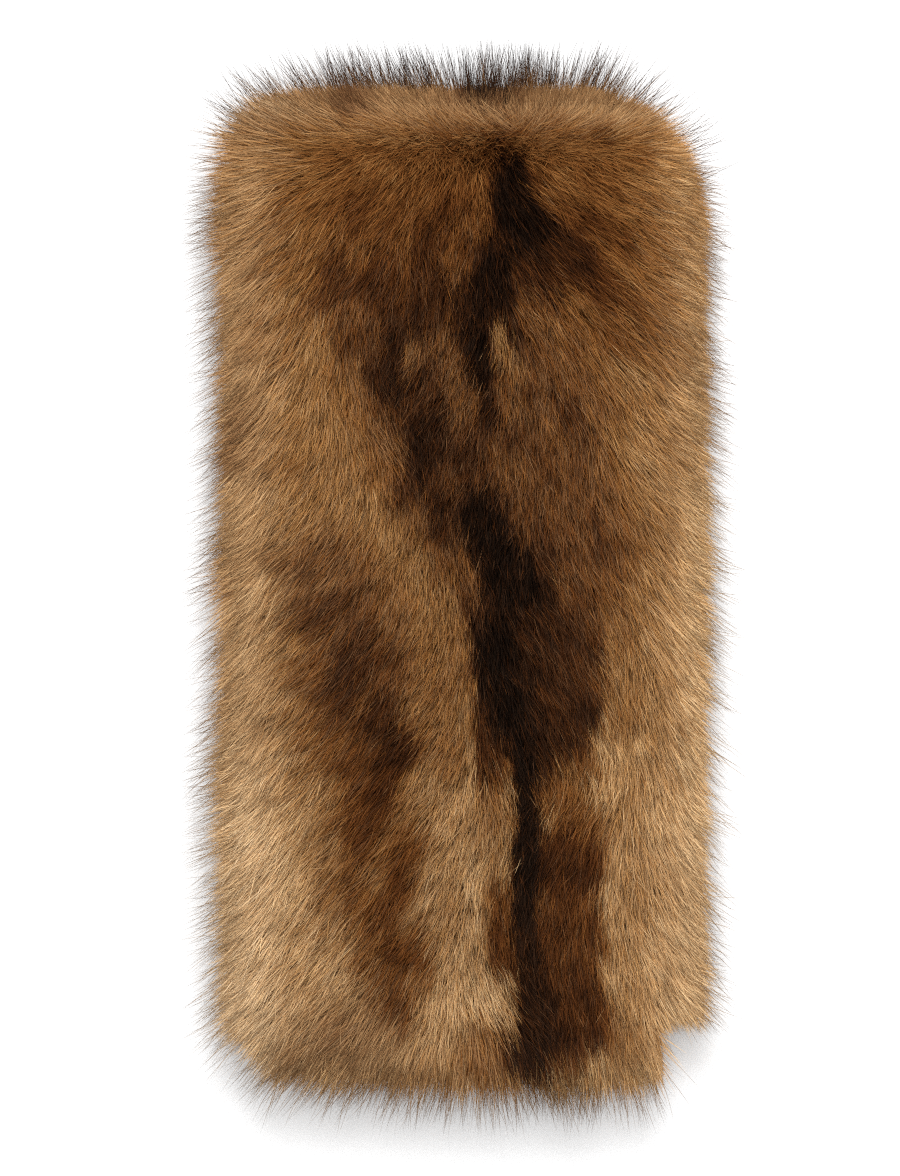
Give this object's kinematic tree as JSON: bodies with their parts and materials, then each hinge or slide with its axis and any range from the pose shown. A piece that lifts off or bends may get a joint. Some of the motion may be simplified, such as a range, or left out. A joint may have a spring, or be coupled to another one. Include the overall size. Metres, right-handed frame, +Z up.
{
  "type": "fur collar wrap",
  "caption": "Long straight strip of long-haired fur folded across its middle and laid flat, fur outside, with rounded corners at the fold and soft golden and dark brown markings.",
  "frame": {"origin": "on the surface that the wrap lies on, under the middle of its length and width", "axes": "+Y along the wrap towards its fold, +X across it to the right seen from above, +Z up out of the upper leaf's fur"},
  "size_m": [0.232, 0.464, 0.045],
  "materials": {
    "skin": "matt suede-like skin side, hidden between the leaves",
    "pile": "long soft golden-tan hair with dark brown and near-black streaks, satin sheen"
  },
  "bodies": {
    "root": {"upper_leaf": "skin", "fold_strip": "skin", "under_leaf": "skin", "upper_pile": "pile", "fold_pile": "pile", "under_pile": "pile"}
  },
  "joints": []
}
